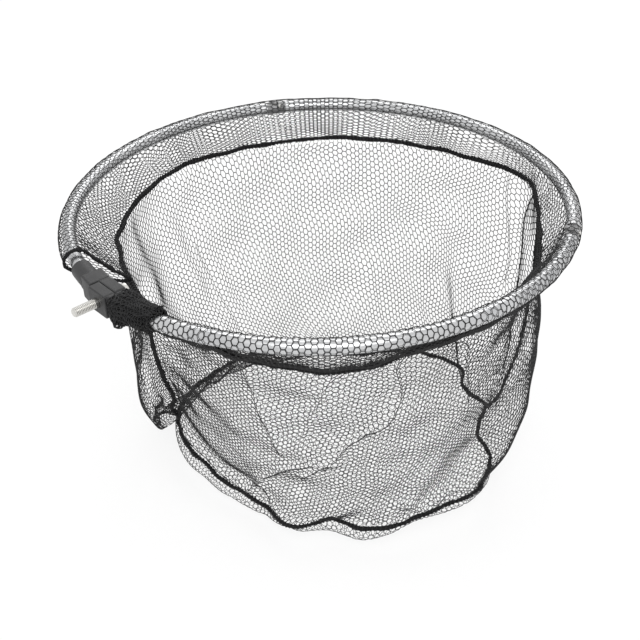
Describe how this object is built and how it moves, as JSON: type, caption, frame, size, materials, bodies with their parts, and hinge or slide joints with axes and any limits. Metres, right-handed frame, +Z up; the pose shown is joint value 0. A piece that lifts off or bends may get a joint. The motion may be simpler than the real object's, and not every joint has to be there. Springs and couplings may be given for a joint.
{
  "type": "folding landing net head",
  "caption": "Round folding landing-net head: an aluminium ring on a half-lap connector with a threaded stud, and a deep mesh bag.",
  "frame": {"origin": "centre of the connector's flat seat face, where the stud leaves it", "axes": "-X along the stud, away from the ring; +X to the ring's centre, which lies at x 0.282; +Z up, square to the ring's plane; +Y by the right-hand rule, towards the back arm"},
  "size_m": [0.5838, 0.5525, 0.3044],
  "materials": {
    "ring_tube": "satin anodised round tube",
    "connector_plastic": "fine-grained dark grey moulded plastic",
    "steel": "bright plated steel",
    "hinge_metal": "dark semi-matt casting",
    "net": "black knotless hexagonal mesh of fine twisted thread",
    "tape": "black woven binding tape, folded and stitched"
  },
  "bodies": {
    "frame": {"back_arm_tube": "ring_tube", "near_arm_tube": "ring_tube", "outer_lap_fitting": "connector_plastic", "inner_lap_fitting": "connector_plastic", "clamp_bolt": "steel", "bolt_washer": "steel", "back_hinge_pin": "steel", "near_hinge_pin": "steel", "back_ears_rivet": "steel", "near_ears_rivet": "steel", "back_socket_rivet": "steel", "near_socket_rivet": "steel", "back_hinge_ears": "hinge_metal", "near_hinge_ears": "hinge_metal", "back_sleeve": "net", "near_sleeve": "net", "gathered_net": "net", "bag_wall_rear": "net", "base_panel": "net", "sleeve_mouth_hem": "tape", "rim_binding_rear": "tape", "back_side_seam": "tape", "base_seam": "tape"},
    "front_arc": {"front_arc_tube": "ring_tube", "back_hinge_tongue": "hinge_metal", "near_hinge_tongue": "hinge_metal", "back_tongue_rivet": "steel", "near_tongue_rivet": "steel", "front_sleeve": "net", "rim_binding_front": "tape", "bag_wall_front": "net", "front_side_seam": "tape"}
  },
  "joints": [
    {"name": "front_fold", "type": "hinge", "parent": "frame", "child": "front_arc", "pos_m": [0.41575, 0, 0.005], "axis": [0, -1, 0], "range_deg": [0, 175]}
  ]
}
